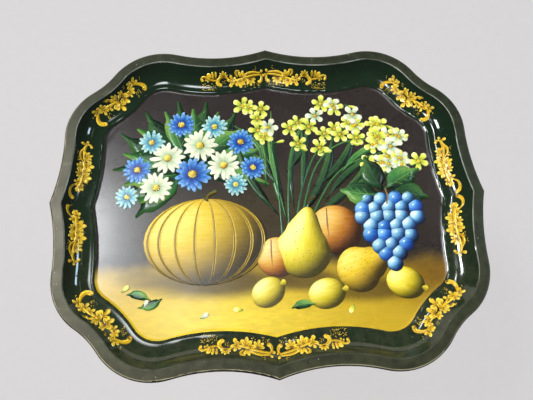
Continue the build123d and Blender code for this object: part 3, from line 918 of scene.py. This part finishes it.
melon_middle, melon_wide, melon_tall = (-86, -50), 80, 57
dab(coat, fruit, melon_middle, 0, (melon_wide, melon_tall), ochre, "round")
for rib_degrees in (-70, -50, -30, -11, 8, 27, 47, 67):
    reach = melon_wide * sin(radians(rib_degrees))
    rises = [radians(rise_degrees) for rise_degrees in range(-78, 79, 12)]
    rib = [
        (melon_middle[0] + reach * cos(rise), melon_middle[1] + melon_tall * sin(rise))
        for rise in rises
    ]
    draw(coat, rib, (0.6, 2.2, 2.6, 2.2, 0.6), ochre[1:3], "along", over=1.4)
    lit = [(x + 2.4, y) for x, y in rib[2:-2]]
    draw(coat, lit, (0.3, 1.0, 1.2, 0.9, 0.3), ochre[2:4], "along", over=1.6)
stalk_tones = [ochre[0], ochre[1], sap_green[2]]
draw(coat, [(-86, 4), (-82, 12), (-72, 17)], (6.5, 4.0, 5.0), stalk_tones, "halves", over=1.4)
print("peach and melon touches:", len(laid[coat]))

# %% Pears and lemons
piece = half_ball()
for reach, width, length in ((0.0, 0.93, 1.25), (0.45, 0.84, 1.1), (0.8, 0.84, 1.06), (1.1, 0.88, 1.02)):
    pick(piece, "VERT", lambda spot: spot.x > reach)
    squeeze((length, width, 1))
pear = keep_touch(piece, "pear_touch")

for place, degrees, size, tones in (
    ((40, -64), 80, (38, 37), gold_pear),
    ((112, -92), 24, (31, 30), ochre),
):
    turn = radians(degrees)
    dab(coat, pear, place, turn, size, tones, "round")
    tip = ahead(place, turn, 1.58 * size[0])
    stalk = [tip, ahead(tip, turn - 0.2, 8), ahead(tip, turn - 0.6, 14)]
    draw(coat, stalk, (2.8, 2.0, 3.0), ochre[:2], "halves", over=1.4)
    for _ in range(26):
        fleck = ahead(place, vary(0, full_turn), vary(4, 0.85 * size[0]))
        dab(coat, bead, fleck, 0, (0.6, 0.5), russet[:2], over=1.4)

for place, degrees, size in (
    ((66, -122), 12, (24, 19)),
    ((168, -112), -18, (25, 20)),
    ((-8, -118), 30, (22, 18)),
):
    turn = radians(degrees)
    dab(coat, petal, ahead(place, turn, 0.98 * size[0]), turn, (5, 4.5), gold_pear[1:4], "halves")
    dab(coat, fruit, place, turn, size, gold_pear, "round")
print("fruit touches:", len(laid[coat]))

# %% Grapes and what lies on the table
for root, degrees, length, tones in (
    ((156, 14), 30, 56, sap_green),
    ((152, 12), 112, 52, dark_green),
    ((164, 10), -10, 50, dark_green),
    ((148, 6), 172, 52, sap_green),
):
    leaf_from(root, radians(degrees), length, 32, tones, 0.06)
draw("painted_leaves", [(156, 16), (158, 4), (156, -8)], (3.0, 2.4, 2.0), ochre[:3], "halves", over=1.4)
coat = "painted_grapes"
bunch_middle, grape_gap, row_gap = 158, 18, 12.5
for row, count in enumerate((4, 5, 5, 4, 4, 3, 2, 1)):
    for at in range(count):
        east = bunch_middle + (at - (count - 1) / 2) * grape_gap + vary(-2.5, 2.5)
        place = (east, vary(-2, 2) - row * row_gap)
        size = vary(10, 11.5)
        dab(coat, fruit, place, 0, (size, size), chance.choice((grape, grape, grape, blue)), "round")
        glint = ahead(place, 2.4, 0.42 * size)
        dab(coat, bead, glint, 0.7, (1.7, 1.0), [grape[4], grape[4]], over=1.4)

coat = "painted_fallen_petals"
for place in ((-160, -128), (-46, -138), (96, -142), (-186, -108), (-88, -144)):
    turn = vary(0, full_turn)
    dab(coat, petal, place, turn, (6, 3.6), chance.choice((lemon, cream)))
for root, degrees in (((-184, -114), -14), ((-140, -122), 200), ((20, -138), 8)):
    leaf_from(root, radians(degrees), 30, 11, sap_green, 0.15, coat)
print("touches in all:", sum(len(group) for group in laid.values()))

# %% [markdown]
# One paint serves the whole picture. It takes each touch's tones from the paint attribute, drags streaks
# along the brush attribute, and lies under the same old varnish as the ground.

# %% Oil paint
oil, shader, place = new_finish("oil_paint")
tone = add_node("Attribute", {}, attribute_name="paint").outputs["Color"]
hairs = add_node("Attribute", {}, attribute_name="brush").outputs["Vector"]
streak = streaks(hairs, (0.06, 0.45, 1.0), 5.0)
shades = [
    add_node("HueSaturation", {"Value": value, "Saturation": saturation, "Color": tone}).outputs[0]
    for value, saturation in ((0.9, 1.04), (1.06, 0.97))
]
paint = mix(step(streak, 0.3, 0.7), *shades)
varnish(shader, paint, place, streak)
for coat in list(laid):
    piece = join_coat(coat)
    piece.data.transform(Matrix.Translation((0, 0, picture_level)))
    piece.data.materials.clear()
    piece.data.materials.append(oil)
    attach(piece, "tray")
laid.clear()

# %% [markdown]
# ## The gold scrolls
# Twelve sprays of gold scrollwork stand on the wall of the cove: a mirrored pair at the middle of each side
# and of each end, and one in each corner. It is common ornament: curls, leaves of three lobes, drops, shells
# and a dust of dots. There are three designs. We draw each once, flat, in millimetres: x runs along the rim
# and y up the wall, from the ledge above the floor.

# %% Touches of the scroll
gold = tones_of("7d5a08 d2a51b e8bd28 f6d95a")
umber = tones_of("191104 38270a")
touch_dome = 0.004
leaf_kinds = {
    "trefoil": ((-64, 64, 0), 0.27),
    "palm": ((-40, 40, 0), 0.24),
    "shell": ((-72, 72, -36, 36, 0), 0.19),
    "drop": ((0,), 0.34),
    "spear": ((0,), 0.15),
}


def curl(coat, stroke):
    """A thick curl, by x, y and width, with a dark line along it and a round eye at its end."""
    points = [point[:2] for point in stroke]
    widths = [point[2] for point in stroke]
    draw(coat, points, widths, gold)
    draw(coat, points[1:], (0.2, 0.6, 0.2), umber, "along", over=1.4)
    eye = 0.56 * widths[-1]
    dab(coat, bead, points[-1], 0, (eye, eye), gold, "round", over=1.0)


def gilt_leaf(coat, root, degrees, length, kind):
    """A leaf whose round lobes share a root; each has a dark rib."""
    spreads, plump = leaf_kinds[kind]
    for spread in spreads:
        turn = radians(degrees + spread)
        long = length * (1 - 0.3 * abs(spread) / 90) / 2
        dab(coat, petal, ahead(root, turn, long), turn, (long, plump * length), gold)
    for spread in spreads:
        turn = radians(degrees + spread)
        rib = [ahead(root, turn, 0.1 * length), ahead(root, turn, 0.68 * length)]
        draw(coat, rib, (1.0, 0.25), umber, "along", over=1.4)


# %% Three scrolls, drawn flat
scroll_curls = {
    "corner": (
        [
            (-33, 18, 2.4), (-27, 15.5, 3.2), (-21, 14, 4.4), (-15, 15.5, 3.6), (-9, 18.5, 3.2),
            (-3, 18, 3.4), (3, 16, 3),
        ],
        [(3, 16, 3), (10, 16.5, 4), (16, 17, 5), (23, 17, 4.6), (31, 18, 2.6)],
        [(-31, 17.5, 2.2), (-36.5, 14.5, 4), (-41, 9.5, 5.2), (-42.5, 5.5, 6), (-40.5, 3, 6)],
        [(30.5, 18, 2.4), (35.5, 14, 4.2), (39, 9.5, 5.6), (39.5, 4.5, 6.4), (36, 0.5, 6)],
        [(9.5, 18, 2.4), (9.8, 22.5, 3.4), (12, 25, 3.8), (15, 24.5, 3.6)],
    ),
    "end": (
        [
            (-14, 14, 1.8), (-17, 18, 2.2), (-21.5, 22, 3.2), (-27.5, 22.8, 4), (-33, 20, 4.6),
            (-35, 15.5, 4.6),
        ],
        [(-26, 13.5, 2.6), (-19, 12.5, 5), (-10, 11.5, 5.6), (0, 12, 4.6), (10, 12, 4.6), (17, 14, 3)],
        [(15, 13, 2.2), (19, 15, 2.8), (20, 18, 2.6), (18.5, 20.5, 2.4)],
        [(17, 14, 2.2), (22.5, 19.5, 3.6), (29, 20, 4.2), (35, 16.5, 3.6), (42, 13.5, 2.4)],
        [(16, 12, 2), (23, 14.5, 3), (31, 15.5, 3.4), (38, 14.5, 3), (43, 13, 2.2)],
        [(42, 13.5, 2.2), (43, 9.5, 2.8), (40.5, 7, 3.8)],
    ),
    "side": (
        [(-46.5, 18, 2.4), (-39, 20.5, 3.4), (-31.5, 21.8, 4.2), (-24, 20.5, 3.4), (-19, 18, 2.4)],
        [
            (-46, 16, 2.6), (-37, 17, 3), (-28, 17, 3.4), (-19, 15, 4.4), (-11.5, 14, 4.4), (-4, 13, 4),
            (3, 16, 3),
        ],
        [(-46, 16, 2.4), (-46.5, 12, 3.2), (-44.5, 8, 4.2), (-41.5, 6.5, 5)],
        [(-12, 19, 2), (-9.5, 23, 3), (-10.5, 27, 3.6), (-14, 27, 3.2)],
        [(1, 16.5, 2.4), (6, 20, 2.6), (12, 20, 3.4), (16.5, 17, 4.8), (17.5, 12.5, 5.4), (14.5, 9.5, 5.2)],
        [(19, 15.5, 2.2), (25, 16, 3), (31, 18, 3.4), (36.5, 20.8, 3.4), (40.5, 19, 3.4), (40, 15.5, 3.6)],
    ),
}
scroll_leaves = {
    "corner": (
        (-32.5, 18.5, 122, 8.5, "trefoil"), (-28, 17.5, 78, 7.5, "trefoil"),
        (-21, 13.5, 186, 9.5, "palm"), (-19.5, 13.5, 272, 7.5, "trefoil"),
        (-10.5, 17.5, 68, 8.5, "palm"), (-9, 15, 262, 11.5, "trefoil"), (2.5, 17.5, 80, 10.5, "palm"),
        (1.5, 11, 268, 12, "trefoil"), (0, 18.5, 300, 11, "drop"), (5, 14, 325, 8, "drop"),
        (17.5, 17, 248, 8.5, "trefoil"), (24, 17, 284, 8.5, "trefoil"),
        (24.5, 18, 85, 7.5, "trefoil"), (31.5, 18.5, 52, 8, "trefoil"),
    ),
    "end": (
        (-13, 14, 85, 7.5, "trefoil"), (-17, 12, 190, 9, "palm"), (-17, 11.5, 235, 6.5, "trefoil"),
        (-4, 12, 272, 12.5, "palm"), (-0.5, 13.5, 92, 9, "shell"), (8.5, 13.5, 78, 10.5, "palm"),
        (12, 12, 274, 12.5, "palm"), (4, 12, 290, 7, "trefoil"), (24.5, 13.5, 292, 10.5, "shell"),
        (42, 14, 74, 7.5, "drop"), (42.5, 13, 350, 6, "drop"),
    ),
    "side": (
        (-45, 18, 140, 6, "drop"), (-45.5, 15, 190, 6, "drop"), (-29.5, 14, 272, 11, "shell"),
        (-17, 17, 112, 10.5, "palm"), (-14.5, 14, 270, 11.5, "palm"), (-19, 14.5, 200, 8, "trefoil"),
        (-3.5, 14, 78, 9, "trefoil"), (-4, 13.5, 300, 9, "drop"), (-7, 13, 250, 6.5, "trefoil"),
        (9, 20.5, 88, 9, "shell"), (20.3, 16.5, 92, 12.5, "spear"), (23.8, 16, 84, 13, "spear"),
        (27, 17, 64, 10.5, "drop"), (33, 18, 250, 5, "trefoil"),
    ),
}
scroll_dust = {
    "corner": (
        ((-29, 4), (4.5, 4), 22), ((22, 6), (4.5, 4), 18), ((-19, 24.5), (3.5, 2), 8),
        ((16.5, 27.5), (3, 1.5), 7), ((-44, 18), (2, 2), 3), ((39.5, 17.5), (1.5, 1.5), 3),
    ),
    "end": (
        ((-9, 5.5), (5, 3), 10), ((4, 4.5), (3, 3), 8), ((20.5, 23), (4, 2), 7), ((27, 25), (4, 1.5), 5),
    ),
    "side": (
        ((26, 7), (6, 5.5), 34), ((35, 6), (4.5, 5.5), 24), ((8.5, 12.5), (3.5, 4), 14),
        ((-36, 2), (4.5, 3), 14), ((-22.5, 4.5), (3, 2), 8), ((-38, 27), (3, 3), 6),
    ),
}
scrolls = {}
for design, strokes in scroll_curls.items():
    coat = f"scroll_{design}"
    for stroke in strokes:
        curl(coat, stroke)
    for east, north, degrees, length, kind in scroll_leaves[design]:
        gilt_leaf(coat, (east, north), degrees, length, kind)
    for middle, reach, count in scroll_dust[design]:
        for _ in range(count):
            spot = [centre + vary(-1, 1) * half for centre, half in zip(middle, reach)]
            dab(coat, bead, spot, 0, (vary(0.25, 0.5),) * 2, gold[1:])
    scrolls[design] = join_coat(coat)

# %% [markdown]
# The same varnished gold paint covers all twelve: ochre leaf with darker dabs, dulled where it is rubbed.

# %% Gold paint
gilt, shader, place = new_finish("gold_paint")
tone = add_node("Attribute", {}, attribute_name="paint").outputs["Color"]
rub = patches(place, 420.0, 4.0)
paint = mix(step(rub, 0.5, 0.75, 0.0, 0.5), tone, "7d5c0c")
bumps = relief(rub, 0.01 * mm, 0.4)
dull = step(rub, 0.3, 0.7, 0.12, 0.22)
fill(shader, {"Base Color": paint, "Roughness": dull, "Normal": bumps, "IOR": 1.5})
for scroll in scrolls.values():
    scroll.data.materials.clear()
    scroll.data.materials.append(gilt)
print("gold paint on", len(scrolls), "designs")

# %% [markdown]
# The rim is a chain of arcs, and the wall below it is an arc too. A flat point follows the rim by its x and
# climbs the wall by its y; the nearest point of the CAD mesh is then its place. A shrinkwrap would press the
# top and foot of each touch together, so each point keeps its own height along the wall's normal. The
# transfers on the real tray were set by hand, so every copy has its own shift, lift and lean. Each arc below
# gives its start along the rim, its centre, its radius, its direction and its way round.

# %% Arcs of the rim
hollow_arcs = {
    "corner": (
        (-24.96, (143.6, 136.0), -80.0, 34.5, -1),
        (0.0, (291.89, 238.03), 100.0, -134.5, 1),
        (24.3, (195.0, 93.5), -74.0, 56.2, -1),
    ),
    "end": ((0.0, (558.75, 79.99), 290.0, -172.6, -1),),
    "side": ((0.0, (71.94, 424.23), 217.0, -96.0, 1),),
}
ledge_inset = 41.0
ledge_rise = 2.5
wall_radius = 26.49
scroll_inset = 30.0
scroll_middle = 14.0
wall = BVHTree.FromObject(nodes["tray_pan"], bpy.context.evaluated_depsgraph_get())


def on_rim(design, along, inset):
    """The point of the plan that lies so far along a hollow and so far in from the rim's outline."""
    arcs = hollow_arcs[design]
    arc = arcs[len(arcs) // 2]
    if len(arcs) > 1 and along < arcs[0][0]:
        arc = arcs[0]
    if len(arcs) > 1 and along > arcs[-1][0]:
        arc = arcs[-1]
    start, centre, radius, degrees, way = arc
    turn = radians(degrees) + way * (along - start) / abs(radius + scroll_inset)
    return ahead(centre, turn, abs(radius + inset))


print("middle of the corner scroll:", tuple(round(v, 1) for v in on_rim("corner", 0.0, scroll_inset)))


# %% Press the scrolls on the cove
def press(name, design, quarter, shift, lift, lean_degrees):
    """A copy of a flat scroll on the wall of the cove, set a little off as its transfer was."""
    piece = put(name, scrolls[design].data.copy())
    lean = radians(lean_degrees)
    places = []
    for flat_x, flat_y, rise in spots_of(piece.data):
        beside, above = flat_x / mm, flat_y / mm - scroll_middle
        along, climb = turned(beside, above, lean)
        tilt = (scroll_middle + lift + climb) / wall_radius
        east, north = on_rim(design, shift + along, ledge_inset - wall_radius * sin(tilt))
        level = ledge_rise + wall_radius * (1 - cos(tilt))
        spot = Vector((east * quarter[0] * mm, north * quarter[1] * mm, floor_level + level * mm))
        hit, normal = wall.find_nearest(spot)[:2]
        places.extend(hit + normal * rise)
    piece.data.vertices.foreach_set("co", places)
    if quarter[0] * quarter[1] * (-1 if design == "end" else 1) > 0:
        piece.data.flip_normals()
    piece.data.update()
    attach(piece, "tray")


for name, design, quarter, shift, lift, lean_degrees in (
    ("gold_scroll_back_right", "side", (1, 1), 0, 0, 0),
    ("gold_scroll_back_left", "side", (-1, 1), 5, 0, 0),
    ("gold_scroll_front_left", "side", (-1, -1), 6, -1.2, -1.8),
    ("gold_scroll_front_right", "side", (1, -1), 0, -1.8, -2.8),
    ("gold_scroll_corner_back_right", "corner", (1, 1), 0, 0, 0),
    ("gold_scroll_corner_back_left", "corner", (-1, 1), 0.8, 4.5, 0),
    ("gold_scroll_corner_front_left", "corner", (-1, -1), 8.8, 3.0, 0),
    ("gold_scroll_corner_front_right", "corner", (1, -1), 2.5, -0.8, 0),
    ("gold_scroll_right_back", "end", (1, 1), 0, 0, 0),
    ("gold_scroll_left_back", "end", (-1, 1), 3.9, 6.5, -2.0),
    ("gold_scroll_left_front", "end", (-1, -1), -9.2, 6.8, 3.4),
    ("gold_scroll_right_front", "end", (1, -1), -4.4, 0.5, 2.4),
):
    press(name, design, quarter, shift, lift, lean_degrees)
for scroll in scrolls.values():
    bpy.data.objects.remove(scroll)
